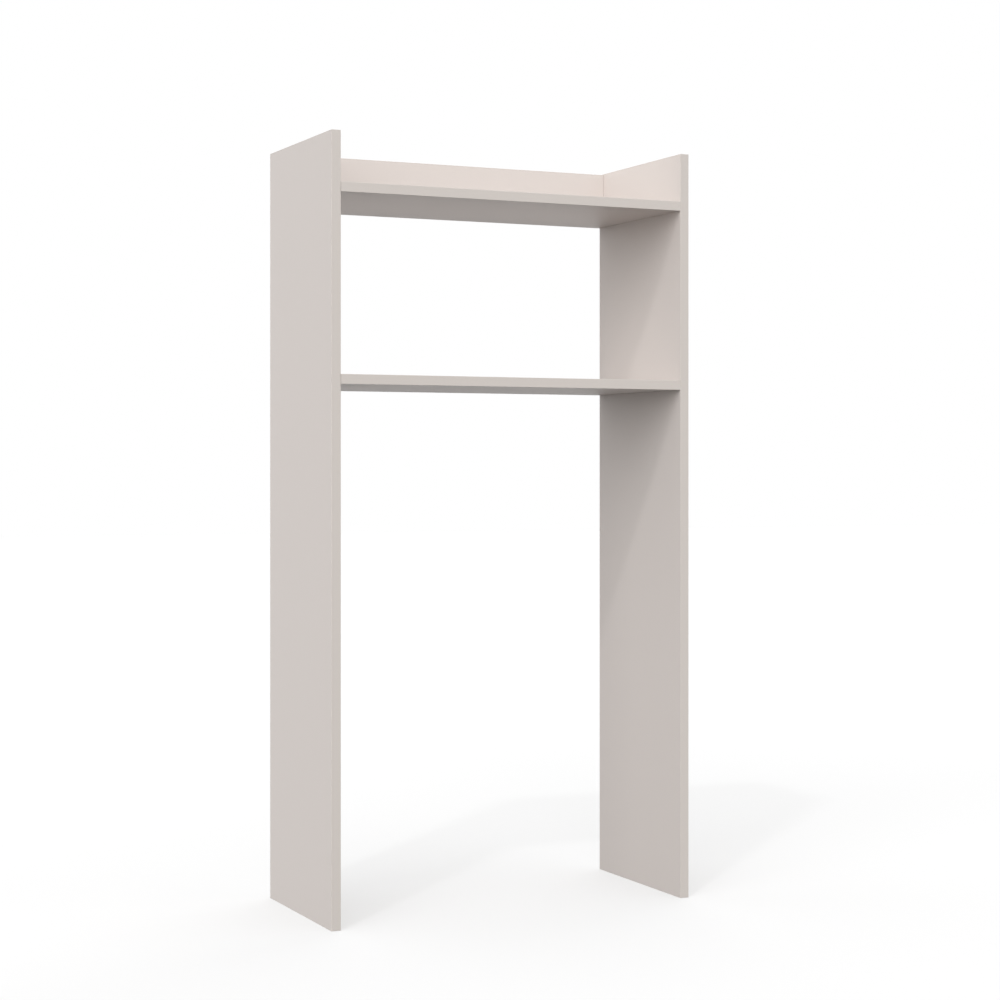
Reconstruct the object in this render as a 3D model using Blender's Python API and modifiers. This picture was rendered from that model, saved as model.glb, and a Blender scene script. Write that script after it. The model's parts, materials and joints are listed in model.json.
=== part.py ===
"""Open shelf cabinet that stands over a washing machine.

Two full-height side panels carry two shelves and a low rail at the back of the
top tray. The boards are melamine-faced chipboard with edge banding, and they are
held by cam locks, their bolts and wooden dowels. There is no back panel.

Units are metres. +Z is up, the front faces -Y, and the origin lies on the floor
at the middle of the footprint. Left and right are as seen from the front.
"""

import math

import bmesh
import bpy
from mathutils import Matrix, Vector

CABINET_NAME = "washing_machine_cabinet"

# Boards and bays: each of these can be chosen freely
BOARD_THICKNESS = 0.016
CABINET_DEPTH = 0.300
BAY_WIDTH = 0.623            # clear width between the side panels
WASHER_BAY_HEIGHT = 0.874    # floor to the underside of the lower shelf
TOWEL_BAY_HEIGHT = 0.292     # clear height between the two shelves
TRAY_WALL_HEIGHT = 0.082     # rise of the side panels above the upper shelf
RAIL_DROP = 0.0017           # top of the rail below the top of the side panels

# Edge banding
BAND_THICKNESS = 0.0008
GLUE_LINE = 0.0002
BAND_ARRIS = 0.0004          # radius on the long edges of a band
ARRIS_SEGMENTS = 2
ARRIS_ROUND_SHARE = 0.5      # of a full bulge, which is a quarter circle

# Clearances and cuts
JOINT_GAP = 0.0003           # between two pieces that touch
CUT_OVERRUN = 0.001          # cutters start this far outside the board
SIDE_BORE_FLOOR = 0.0045     # board left behind a blind bore in a face
CAM_POCKET_FLOOR = 0.0030    # board left behind a cam lock
BORE_SIDES = 12
POCKET_SIDES = 32
MERGE_DISTANCE = 0.00001
SMOOTH_ANGLE = math.radians(35)

# Where the fixings sit
CAM_SETBACK = 0.050          # cam bolt from the front or back of the cabinet
DOWEL_SPACING = 0.032        # dowel from the cam bolt beside it
CAM_REACH = 0.034            # cam lock's axis from the end of its board
FOOT_DOWEL_SETBACK = 0.080   # outer foot dowels from the ends of the rail
RAIL_CAM_HEIGHT_SHARE = 0.375
RAIL_DOWEL_HEIGHT_SHARE = 0.75

# Cam lock, a die-cast drum that draws the bolt's head in
CAM_RADIUS = 0.0073
CAM_SINK = 0.0002            # top of the drum below the board's face
CAM_CHAMFER = 0.0004
CAM_CHAMFER_ANGLE = math.radians(60)
CROSS_SLOT_LENGTH = 0.0092
CROSS_SLOT_WIDTH = 0.0016
CROSS_SLOT_DEPTH = 0.0024
ARROW_SIZE_SHARE = 0.42      # arrow's radius, of the rim outside the cross slot
ARROW_DEPTH = 0.0004
ARROW_SIDES = 3
CAM_SIDES = 24

# Cam bolt, turned steel
BOLT_HEAD_RADIUS = 0.0034
BOLT_HEAD_LENGTH = 0.0030
BOLT_HEAD_CHAMFER = 0.0006
BOLT_NECK_RADIUS = 0.0020
BOLT_NECK_LENGTH = 0.0048
BOLT_SHANK_RADIUS = 0.0030
BOLT_COLLAR_RADIUS = 0.0038
BOLT_COLLAR_LENGTH = 0.0014
THREAD_CORE_RADIUS = 0.0018
THREAD_CREST_RADIUS = 0.0025
THREAD_PITCH = 0.0028
BOLT_STEPS = 10

# Fluted wooden dowel
DOWEL_RADIUS = 0.004
DOWEL_FLUTE_DEPTH = 0.00025
DOWEL_CHAMFER = 0.0010
DOWEL_REACH = 0.0185         # length of dowel inside the board's end
DOWEL_GLUE_ROOM = 0.0008     # bore left empty past the dowel's inner end
DOWEL_FLUTES = 10

# Cover cap, pressed into the cross slot of a cam lock
CAP_LIP = 0.0009             # cap past the rim of the pocket
CAP_THICKNESS = 0.0010
CAP_BLADE_DEPTH = 0.0020     # length of the blade in the slot
CAP_ROUNDING_SHARES = ((0.0, 1.0), (0.72, 0.93), (0.93, 0.62), (1.0, 0.2), (1.0, 0.0))
CAP_STEPS = 32

# Colours as linear RGB, with roughness and metallic
FINISHES = {
    "melamine": ((0.630, 0.584, 0.558), 0.55, 0.0),
    "edge_band": ((0.625, 0.578, 0.548), 0.50, 0.0),
    "zinc": ((0.56, 0.56, 0.55), 0.45, 1.0),
    "bolt_steel": ((0.66, 0.66, 0.65), 0.30, 1.0),
    "beech": ((0.62, 0.42, 0.25), 0.65, 0.0),
    "cap_plastic": ((0.615, 0.568, 0.540), 0.45, 0.0),
}

# Worked out from the sizes above
BANDED_EDGE = BAND_THICKNESS + GLUE_LINE
CABINET_WIDTH = BAY_WIDTH + 2 * BOARD_THICKNESS
LOWER_SHELF_TOP = WASHER_BAY_HEIGHT + BOARD_THICKNESS
UPPER_SHELF_BASE = LOWER_SHELF_TOP + TOWEL_BAY_HEIGHT
UPPER_SHELF_TOP = UPPER_SHELF_BASE + BOARD_THICKNESS
CABINET_HEIGHT = UPPER_SHELF_TOP + TRAY_WALL_HEIGHT
RAIL_BASE = UPPER_SHELF_TOP + JOINT_GAP
RAIL_TOP = CABINET_HEIGHT - RAIL_DROP
RAIL_HEIGHT = RAIL_TOP - RAIL_BASE
RAIL_CENTRE_Y = CABINET_DEPTH / 2 - BOARD_THICKNESS / 2
SHELF_LENGTH = BAY_WIDTH - 2 * JOINT_GAP
SIDE_BORE_DEPTH = BOARD_THICKNESS - SIDE_BORE_FLOOR
CAM_POCKET_DEPTH = BOARD_THICKNESS - CAM_POCKET_FLOOR
CAM_POCKET_RADIUS = CAM_RADIUS + JOINT_GAP
CAM_HEIGHT = CAM_POCKET_DEPTH - CAM_SINK - JOINT_GAP
SHELF_BOLT_BORE_RADIUS = BOLT_COLLAR_RADIUS + JOINT_GAP
SIDE_BOLT_BORE_RADIUS = THREAD_CREST_RADIUS + JOINT_GAP
DOWEL_BORE_RADIUS = DOWEL_RADIUS + JOINT_GAP
CAP_RADIUS = CAM_POCKET_RADIUS + CAP_LIP
CAM_RIM = CAM_RADIUS - CAM_CHAMFER - CROSS_SLOT_LENGTH / 2

X_AXIS = Vector((1, 0, 0))
Y_AXIS = Vector((0, 1, 0))
Z_AXIS = Vector((0, 0, 1))
SIDES = (("left", -1), ("right", 1))
DEPTHS = (("front", -1), ("back", 1))


class Workshop:
    """Collections and materials that every piece is made in."""

    def __init__(self):
        for old in list(bpy.data.objects):
            bpy.data.objects.remove(old, do_unlink=True)
        self.parts = self.new_collection(CABINET_NAME)
        self.cutters = self.new_collection(CABINET_NAME + "_cutters")
        self.materials = {name: self.new_material(name, *finish) for name, finish in FINISHES.items()}
        self.stand = bpy.data.objects.new(CABINET_NAME + "_stand", None)
        self.parts.objects.link(self.stand)

    def new_collection(self, name):
        """A collection linked to the scene."""
        collection = bpy.data.collections.new(name)
        bpy.context.scene.collection.children.link(collection)
        return collection

    def new_material(self, name, colour, roughness, metallic):
        """A plain Principled material."""
        material = bpy.data.materials.new(name)
        material.use_nodes = True
        shader = material.node_tree.nodes["Principled BSDF"]
        shader.inputs["Base Color"].default_value = (*colour, 1.0)
        shader.inputs["Roughness"].default_value = roughness
        shader.inputs["Metallic"].default_value = metallic
        material.diffuse_color = (*colour, 1.0)
        return material

    def add_piece(self, name, mesh, finish, place, smooth=False):
        """An object in the cabinet's collection, standing on the shared empty."""
        mesh.materials.append(self.materials[finish])
        piece = bpy.data.objects.new(name, mesh)
        piece.matrix_world = place
        piece.parent = self.stand
        self.parts.objects.link(piece)
        if smooth:
            mesh.shade_smooth()
            mesh.set_sharp_from_angle(angle=SMOOTH_ANGLE)
        return piece

    def add_cutter(self, name, mesh, place):
        """A wire object that only cuts."""
        cutter = bpy.data.objects.new(name, mesh)
        cutter.matrix_world = place
        cutter.hide_render = True
        cutter.display_type = "WIRE"
        self.cutters.objects.link(cutter)
        return cutter


def mesh_from(work, name):
    """Turn a bmesh into a mesh and free it."""
    bmesh.ops.recalc_face_normals(work, faces=work.faces)
    mesh = bpy.data.meshes.new(name)
    work.to_mesh(mesh)
    work.free()
    return mesh


def box_mesh(name, size):
    """A box of the given size about its centre."""
    work = bmesh.new()
    bmesh.ops.create_cube(work, size=1, matrix=Matrix.Diagonal((*size, 1)))
    return mesh_from(work, name)


def drum_mesh(name, radius, depth, sides, around=False):
    """A cylinder whose top face lies at its origin, so it reaches down -Z.

    With around set, the flats touch the circle from outside, as a cutter's must.
    """
    reach = radius / math.cos(math.pi / sides) if around else radius
    work = bmesh.new()
    bmesh.ops.create_cone(
        work, cap_ends=True, segments=sides, radius1=reach, radius2=reach, depth=depth,
        matrix=Matrix.Translation(-Z_AXIS * depth / 2),
    )
    return mesh_from(work, name)


def turned_mesh(name, profile):
    """The half outline of a turned piece, from its top on the axis to its foot."""
    mesh = bpy.data.meshes.new(name)
    points = [(radius, 0, height) for radius, height in profile]
    mesh.from_pydata(points, [(i, i + 1) for i in range(len(points) - 1)], [])
    return mesh


def turn(piece, steps):
    """Sweep a half outline once round the piece's own Z axis."""
    screw = piece.modifiers.new("turned", "SCREW")
    screw.axis = "Z"
    screw.steps = steps
    screw.render_steps = steps
    screw.use_merge_vertices = True
    screw.merge_threshold = MERGE_DISTANCE
    screw.use_smooth_shade = True


def boolean(piece, other, operation):
    """Cut or join with the exact solver."""
    step = piece.modifiers.new(operation.lower() + "_" + other.name, "BOOLEAN")
    step.operation = operation
    step.solver = "EXACT"
    step.object = other


def looking(at, outward):
    """A place at a point, with its own +Z turned to a direction."""
    turned = outward.to_track_quat("Z", "Y").to_matrix().to_4x4()
    return Matrix.Translation(at) @ turned


def facing(at, outward, along):
    """A place at a point, with its own +Z and +X turned to two directions."""
    turned = Matrix((along, outward.cross(along), outward)).transposed().to_4x4()
    return Matrix.Translation(at) @ turned


def bore(shop, board, name, at, outward, radius, depth, sides=BORE_SIDES):
    """Drill a blind hole whose mouth lies at a point of the board's face."""
    mesh = drum_mesh(name, radius, depth + CUT_OVERRUN, sides, around=True)
    cutter = shop.add_cutter(name, mesh, looking(at + outward * CUT_OVERRUN, outward))
    boolean(board, cutter, "DIFFERENCE")


def add_board(shop, name, low, high):
    """A chipboard core between two corners."""
    size = high - low
    place = Matrix.Translation((low + high) / 2)
    return shop.add_piece(name, box_mesh(name, size), "melamine", place)


def add_band(shop, name, low, high, outward, round_ends=False):
    """A strip of edge band between two corners, its outer arrises rounded.

    The long edges of the outward face are always rounded, and its ends where
    nothing butts against them.
    """
    size = high - low
    run = max(range(3), key=lambda axis: size[axis])
    work = bmesh.new()
    bmesh.ops.create_cube(work, size=1, matrix=Matrix.Diagonal((*size, 1)))
    outer = [
        edge for edge in work.edges
        if all(vertex.co.dot(outward) > 0 for vertex in edge.verts)
        and (round_ends or edge.verts[0].co[run] * edge.verts[1].co[run] < 0)
    ]
    bmesh.ops.bevel(
        work, geom=outer, offset=BAND_ARRIS, segments=ARRIS_SEGMENTS, profile=ARRIS_ROUND_SHARE,
        affect="EDGES",
    )
    return shop.add_piece(name, mesh_from(work, name), "edge_band", Matrix.Translation((low + high) / 2))


def add_cam(shop, name, centre, outward, towards_bolt):
    """A cam lock's drum, its cross slot outwards and its mouth towards the bolt.

    A small arrow beside the slot points to the mouth.
    """
    top = centre + outward * (BOARD_THICKNESS / 2 - CAM_SINK)
    mesh = drum_mesh(name, CAM_RADIUS, CAM_HEIGHT, CAM_SIDES)
    drum = shop.add_piece(name, mesh, "zinc", looking(top, outward), smooth=True)
    soften = drum.modifiers.new("chamfer", "BEVEL")
    soften.width = CAM_CHAMFER
    soften.segments = 1
    soften.limit_method = "ANGLE"
    soften.angle_limit = CAM_CHAMFER_ANGLE

    def cut(label, cutter_mesh, place):
        boolean(drum, shop.add_cutter(name + "_" + label, cutter_mesh, place), "DIFFERENCE")

    slot_size = Vector((CROSS_SLOT_LENGTH, CROSS_SLOT_WIDTH, CROSS_SLOT_DEPTH + CUT_OVERRUN))
    slot_centre = top + outward * (CUT_OVERRUN - slot_size.z / 2)
    across = outward.cross(towards_bolt)
    for label, along in (("slot_long", towards_bolt), ("slot_cross", across)):
        cut(label, box_mesh(label, slot_size), facing(slot_centre, outward, along))
    arrow_at = CROSS_SLOT_LENGTH / 2 + CAM_RIM / 2
    arrow = drum_mesh("arrow", CAM_RIM * ARROW_SIZE_SHARE, ARROW_DEPTH + CUT_OVERRUN, ARROW_SIDES)
    arrow.transform(Matrix.Rotation(-math.pi / 2, 4, "Z"))
    cut("arrow", arrow, facing(top + towards_bolt * arrow_at + outward * CUT_OVERRUN, outward, towards_bolt))
    mouth_depth = CAM_RADIUS + CUT_OVERRUN + BOLT_HEAD_LENGTH / 2 + JOINT_GAP
    mouth = drum_mesh("mouth", BOLT_HEAD_RADIUS + JOINT_GAP, mouth_depth, BORE_SIDES, around=True)
    cut("mouth", mouth, looking(centre + towards_bolt * (CAM_RADIUS + CUT_OVERRUN), towards_bolt))


def bolt_profile():
    """Half outline of the cam bolt: head, neck, shank, collar and ribbed thread."""
    head = BOLT_HEAD_LENGTH / 2
    neck_end = -head - BOLT_NECK_LENGTH
    collar_end = -CAM_REACH
    collar_start = collar_end + BOLT_COLLAR_LENGTH
    tip = collar_end - SIDE_BORE_DEPTH
    profile = [
        (0, head),
        (BOLT_HEAD_RADIUS - BOLT_HEAD_CHAMFER, head),
        (BOLT_HEAD_RADIUS, head - BOLT_HEAD_CHAMFER),
        (BOLT_HEAD_RADIUS, BOLT_HEAD_CHAMFER - head),
        (BOLT_NECK_RADIUS, -head),
        (BOLT_NECK_RADIUS, neck_end),
        (BOLT_SHANK_RADIUS, neck_end - (BOLT_SHANK_RADIUS - BOLT_NECK_RADIUS)),
        (BOLT_SHANK_RADIUS, collar_start),
        (BOLT_COLLAR_RADIUS, collar_start),
        (BOLT_COLLAR_RADIUS, collar_end),
        (THREAD_CORE_RADIUS, collar_end),
    ]
    turns = int(SIDE_BORE_DEPTH / THREAD_PITCH)
    start = tip + turns * THREAD_PITCH
    for index in range(turns):
        root = start - index * THREAD_PITCH
        profile.append((THREAD_CORE_RADIUS, root))
        profile.append((THREAD_CREST_RADIUS, root - THREAD_PITCH / 2))
    profile.append((THREAD_CORE_RADIUS, tip))
    profile.append((0, tip))
    return profile


def add_bolt(shop, name, cam_centre, towards_bolt):
    """A cam bolt from the cam lock's axis into the next board."""
    outline = turned_mesh(name, bolt_profile())
    bolt = shop.add_piece(name, outline, "bolt_steel", looking(cam_centre, -towards_bolt))
    turn(bolt, BOLT_STEPS)


def add_dowel(shop, name, seam, outward):
    """A fluted dowel that crosses the seam between a board's end and a face.

    seam lies on the board's end, and outward points from there into the face.
    """
    length = DOWEL_REACH + SIDE_BORE_DEPTH
    middle = seam + outward * (SIDE_BORE_DEPTH - length / 2)
    work = bmesh.new()
    straight = length - 2 * DOWEL_CHAMFER
    bmesh.ops.create_cone(
        work, cap_ends=True, segments=2 * DOWEL_FLUTES,
        radius1=DOWEL_RADIUS, radius2=DOWEL_RADIUS, depth=straight,
    )
    for vertex in work.verts:
        turn_share = math.atan2(vertex.co.y, vertex.co.x) / math.pi * DOWEL_FLUTES
        if round(turn_share) % 2:
            vertex.co.xy *= 1 - DOWEL_FLUTE_DEPTH / DOWEL_RADIUS
    ends = [face for face in work.faces if abs(face.normal.z) > 0.5]
    for end in ends:
        away = Z_AXIS * math.copysign(DOWEL_CHAMFER, end.normal.z)
        lifted = bmesh.ops.extrude_discrete_faces(work, faces=[end])["faces"][0]
        for vertex in lifted.verts:
            vertex.co += away
            vertex.co.xy *= 1 - DOWEL_CHAMFER / DOWEL_RADIUS
    shop.add_piece(name, mesh_from(work, name), "beech", looking(middle, outward), smooth=True)


def add_cap(shop, name, centre, outward, blade_along):
    """A cover cap over a cam lock, with the blade that grips its slot."""
    seat = centre + outward * (BOARD_THICKNESS / 2 + JOINT_GAP)
    profile = [(radius * CAP_RADIUS, height * CAP_THICKNESS) for radius, height in CAP_ROUNDING_SHARES]
    profile.append((0, 0))
    cap = shop.add_piece(name, turned_mesh(name, profile), "cap_plastic", looking(seat, outward))
    turn(cap, CAP_STEPS)
    embed = CAP_THICKNESS / 2
    reach = JOINT_GAP + CAM_SINK + CAP_BLADE_DEPTH
    size = Vector((CROSS_SLOT_LENGTH - 2 * JOINT_GAP, CROSS_SLOT_WIDTH - 2 * JOINT_GAP, reach + embed))
    blade_centre = seat + outward * (embed - size.z / 2)
    blade_place = facing(blade_centre, outward, blade_along)
    boolean(cap, shop.add_cutter(name + "_blade", box_mesh("blade", size), blade_place), "UNION")


def cam_joint(shop, board, side, name, seam, outward, face):
    """Cam lock, bolt and their bores between a board's end and a side panel.

    seam is the point on the board's end at its mid-thickness, outward points to
    the side panel, and face is the side of the board that the drum opens on.
    """
    centre = seam - outward * CAM_REACH
    mouth = centre + face * BOARD_THICKNESS / 2
    bore(shop, board, name + "_pocket", mouth, face, CAM_POCKET_RADIUS, CAM_POCKET_DEPTH, POCKET_SIDES)
    bore(shop, board, name + "_channel", seam, outward, SHELF_BOLT_BORE_RADIUS, CAM_REACH)
    panel_face = seam + outward * JOINT_GAP
    bore(shop, side, name + "_pilot", panel_face, -outward, SIDE_BOLT_BORE_RADIUS, SIDE_BORE_DEPTH)
    add_cam(shop, name + "_lock", centre, face, outward)
    add_bolt(shop, name + "_bolt", centre, outward)
    return centre


def dowel_joint(shop, board, other, name, seam, outward):
    """A dowel and its two bores, from a board's end into another board's face."""
    far_face = seam + outward * JOINT_GAP
    bore(shop, board, name + "_socket", seam, outward, DOWEL_BORE_RADIUS, DOWEL_REACH + DOWEL_GLUE_ROOM)
    bore(shop, other, name + "_seat", far_face, -outward, DOWEL_BORE_RADIUS, SIDE_BORE_DEPTH)
    add_dowel(shop, name, seam, outward)


def build_side(shop, label, sign):
    """A full-height side panel with a band on each of its four edges."""
    inner = sign * BAY_WIDTH / 2
    outer = sign * CABINET_WIDTH / 2
    low_x, high_x = min(inner, outer), max(inner, outer)
    half_depth = CABINET_DEPTH / 2
    name = label + "_side"
    panel = add_board(
        shop, name + "_panel",
        Vector((low_x, BANDED_EDGE - half_depth, BANDED_EDGE)),
        Vector((high_x, half_depth - BANDED_EDGE, CABINET_HEIGHT - BANDED_EDGE)),
    )
    for edge, way in DEPTHS:
        face, glued = way * half_depth, way * (half_depth - BAND_THICKNESS)
        add_band(
            shop, name + "_" + edge + "_edge_band",
            Vector((low_x, min(face, glued), 0)), Vector((high_x, max(face, glued), CABINET_HEIGHT)),
            Y_AXIS * way, round_ends=True,
        )
    run = half_depth - BANDED_EDGE
    for edge, base, way in (("bottom", 0, -1), ("top", CABINET_HEIGHT - BAND_THICKNESS, 1)):
        add_band(
            shop, name + "_" + edge + "_edge_band",
            Vector((low_x, -run, base)), Vector((high_x, run, base + BAND_THICKNESS)), Z_AXIS * way,
        )
    return panel


def build_shelf(shop, label, base, panels, cam_face, capped):
    """A shelf between the side panels, banded in front and behind."""
    half_length, half_depth = SHELF_LENGTH / 2, CABINET_DEPTH / 2
    shelf = add_board(
        shop, label,
        Vector((-half_length, BANDED_EDGE - half_depth, base)),
        Vector((half_length, half_depth - BANDED_EDGE, base + BOARD_THICKNESS)),
    )
    for edge, way in DEPTHS:
        face, glued = way * half_depth, way * (half_depth - BAND_THICKNESS)
        add_band(
            shop, label + "_" + edge + "_edge_band",
            Vector((-half_length, min(face, glued), base)),
            Vector((half_length, max(face, glued), base + BOARD_THICKNESS)),
            Y_AXIS * way,
        )
    for side, sign in SIDES:
        outward = X_AXIS * sign
        for edge, way in DEPTHS:
            end = Vector((sign * half_length, way * (half_depth - CAM_SETBACK), base + BOARD_THICKNESS / 2))
            stem = label + "_" + side + "_" + edge
            centre = cam_joint(shop, shelf, panels[side], stem + "_cam", end, outward, cam_face)
            if capped:
                add_cap(shop, stem + "_cam_cap", centre, cam_face, outward)
            beside = end - Y_AXIS * way * DOWEL_SPACING
            dowel_joint(shop, shelf, panels[side], stem + "_dowel", beside, outward)
    return shelf


def build_rail(shop, panels, shelf):
    """The rail that stands on the upper shelf at the back of the tray."""
    half_length, half_board = SHELF_LENGTH / 2, BOARD_THICKNESS / 2
    front, back = RAIL_CENTRE_Y - half_board, RAIL_CENTRE_Y + half_board
    rail = add_board(
        shop, "back_rail",
        Vector((-half_length, front, RAIL_BASE)), Vector((half_length, back, RAIL_TOP - BANDED_EDGE)),
    )
    add_band(
        shop, "back_rail_top_edge_band",
        Vector((-half_length, front, RAIL_TOP - BAND_THICKNESS)),
        Vector((half_length, back, RAIL_TOP)),
        Z_AXIS,
    )
    for side, sign in SIDES:
        end = Vector((sign * half_length, RAIL_CENTRE_Y, RAIL_BASE))
        outward = X_AXIS * sign
        cam_end = end + Z_AXIS * RAIL_HEIGHT * RAIL_CAM_HEIGHT_SHARE
        dowel_end = end + Z_AXIS * RAIL_HEIGHT * RAIL_DOWEL_HEIGHT_SHARE
        cam_joint(shop, rail, panels[side], "back_rail_" + side + "_cam", cam_end, outward, Y_AXIS)
        dowel_joint(shop, rail, panels[side], "back_rail_" + side + "_dowel", dowel_end, outward)
    foot_x = half_length - FOOT_DOWEL_SETBACK
    for label, x in (("left", -foot_x), ("middle", 0), ("right", foot_x)):
        foot = Vector((x, RAIL_CENTRE_Y, RAIL_BASE))
        dowel_joint(shop, rail, shelf, "back_rail_foot_" + label + "_dowel", foot, -Z_AXIS)


def build_cabinet():
    """Make every piece of the cabinet."""
    shop = Workshop()
    panels = {label: build_side(shop, label, sign) for label, sign in SIDES}
    build_shelf(shop, "lower_shelf", WASHER_BAY_HEIGHT, panels, -Z_AXIS, capped=False)
    upper = build_shelf(shop, "upper_shelf", UPPER_SHELF_BASE, panels, Z_AXIS, capped=True)
    build_rail(shop, panels, upper)


build_cabinet()
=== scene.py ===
"""Looks of the washing machine cabinet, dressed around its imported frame.

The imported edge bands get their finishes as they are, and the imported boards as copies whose
triangles are joined. Cast, turned, fluted and moulded pieces with finer surfaces stand for
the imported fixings, and a strip of hot-melt glue fills the seam behind every band. A pale
studio and the photograph's camera stand round them.

Lengths are metres, +Z is up, the front faces -Y, and left and right are as seen from it.
"""

import json
import logging
import math
from collections.abc import Mapping, Sequence
from dataclasses import dataclass
from enum import Enum
from typing import ClassVar

import bmesh
import bpy
import numpy as np
from bpy.types import Material, Object
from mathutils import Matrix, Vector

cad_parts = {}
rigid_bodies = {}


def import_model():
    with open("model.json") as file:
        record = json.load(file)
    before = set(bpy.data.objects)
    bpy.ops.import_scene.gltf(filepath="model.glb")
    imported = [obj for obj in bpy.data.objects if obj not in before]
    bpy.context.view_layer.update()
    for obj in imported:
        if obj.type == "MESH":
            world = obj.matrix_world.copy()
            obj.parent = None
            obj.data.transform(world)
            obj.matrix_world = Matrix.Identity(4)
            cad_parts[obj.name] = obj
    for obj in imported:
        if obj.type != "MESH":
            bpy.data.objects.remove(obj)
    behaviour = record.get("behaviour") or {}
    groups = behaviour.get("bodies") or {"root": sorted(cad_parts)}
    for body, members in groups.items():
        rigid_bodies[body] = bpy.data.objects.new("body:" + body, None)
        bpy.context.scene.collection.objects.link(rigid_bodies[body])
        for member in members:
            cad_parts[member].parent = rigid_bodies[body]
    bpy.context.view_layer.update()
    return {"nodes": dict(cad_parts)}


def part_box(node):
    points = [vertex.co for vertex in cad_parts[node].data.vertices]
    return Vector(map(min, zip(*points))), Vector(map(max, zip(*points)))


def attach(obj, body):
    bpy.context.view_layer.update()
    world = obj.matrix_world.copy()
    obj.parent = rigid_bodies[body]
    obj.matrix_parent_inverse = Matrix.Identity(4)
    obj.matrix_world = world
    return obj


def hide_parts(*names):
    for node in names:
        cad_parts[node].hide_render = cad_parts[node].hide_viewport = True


for leftover in list(bpy.data.objects):
    bpy.data.objects.remove(leftover, do_unlink=True)
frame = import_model()

Array = np.ndarray
Triple = tuple[float, float, float]
Colour = Triple
Range = tuple[float, float]
Shares = tuple[float, ...]
WHITE = (1.0, 1.0, 1.0, 1.0)
BODY = "root"
OWN_PLACE = "own_place"
ANGLE_DIGITS = 5
NOISE_MEAN = 0.5
log = logging.getLogger("cabinet")


class Slot(Enum):
    """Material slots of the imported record."""

    BOARD = "board_melamine"
    BAND = "edge_band"
    CAM = "cam_zinc"
    BOLT = "bolt_steel"
    DOWEL = "dowel_beech"
    CAP = "cap_plastic"


class Facing(Enum):
    """The six ways that a face of the cabinet can look: an axis, and a sign along it."""

    LEFT = (0, -1)
    RIGHT = (0, 1)
    FRONT = (1, -1)
    BACK = (1, 1)
    BOTTOM = (2, -1)
    TOP = (2, 1)

    def __init__(self, axis: int, sign: int) -> None:
        """Keep the row axis, 0 for X, 1 for Y and 2 for Z, and the sign."""
        self.axis = axis
        self.sign = sign

    @property
    def vector(self) -> Array:
        """Unit vector out of the face."""
        return np.eye(3)[self.axis] * self.sign

    def __str__(self) -> str:
        """The facing as it stands in the nodes' names."""
        return self.name.lower()


SIDES = (Facing.LEFT, Facing.RIGHT)
EDGES = (Facing.FRONT, Facing.BACK)


@dataclass(frozen=True)
class Span:
    """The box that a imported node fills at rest."""

    low: Array
    high: Array

    @classmethod
    def of(cls, node: str) -> "Span":
        """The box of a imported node."""
        return cls(*np.array(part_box(node)))

    @property
    def size(self) -> Array:
        """Length of the box along each axis."""
        return self.high - self.low

    @property
    def centre(self) -> Array:
        """Middle point of the box."""
        return (self.low + self.high) / 2

    @property
    def long_axis(self) -> int:
        """Axis along which the box is longest."""
        return int(np.argmax(self.size))

    def face(self, facing: Facing) -> float:
        """Coordinate of one face of the box along the axis that it looks along."""
        return float((self.high if facing.sign > 0 else self.low)[facing.axis])

    def middle_of(self, facing: Facing) -> Array:
        """Middle point of one face of the box."""
        return self.centre + facing.vector * self.size / 2

    def across(self, axis: int) -> float:
        """Greatest width of the box square to an axis."""
        return float(np.delete(self.size, axis).max())

    def third_axis(self, facing: Facing) -> int:
        """Axis that is neither the longest nor the facing's, as the three add up to 3."""
        return 3 - self.long_axis - facing.axis


class Signal:
    """A value on a wire of a material, which Python's operators work on."""

    def __init__(self, tree: "Tree", socket: bpy.types.NodeSocket) -> None:
        """Keep the tree and the socket that the value comes out of."""
        self.tree = tree
        self.socket = socket

    def __add__(self, other: "Signal | float") -> "Signal":
        """Sum with a value on either side."""
        return self.tree.maths("ADD", self, other)

    def __sub__(self, other: "Signal | float") -> "Signal":
        """Difference from a value on the right."""
        return self.tree.maths("SUBTRACT", self, other)

    def __rsub__(self, other: float) -> "Signal":
        """Difference from a number on the left."""
        return self.tree.maths("SUBTRACT", other, self)

    def __mul__(self, other: "Signal | float") -> "Signal":
        """Product with a value on either side."""
        return self.tree.maths("MULTIPLY", self, other)

    def __abs__(self) -> "Signal":
        """Size without its sign."""
        return self.tree.maths("ABSOLUTE", self)

    __radd__ = __add__
    __rmul__ = __mul__

    def rises(self, low: float, high: float) -> "Signal":
        """0 below low and 1 above high, with a smooth step between."""
        step = {"interpolation_type": "SMOOTHSTEP", "clamp": True}
        return self.tree.node("MapRange", step, {0: self, 1: low, 2: high})


Input = Signal | float | Sequence[float]


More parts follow.
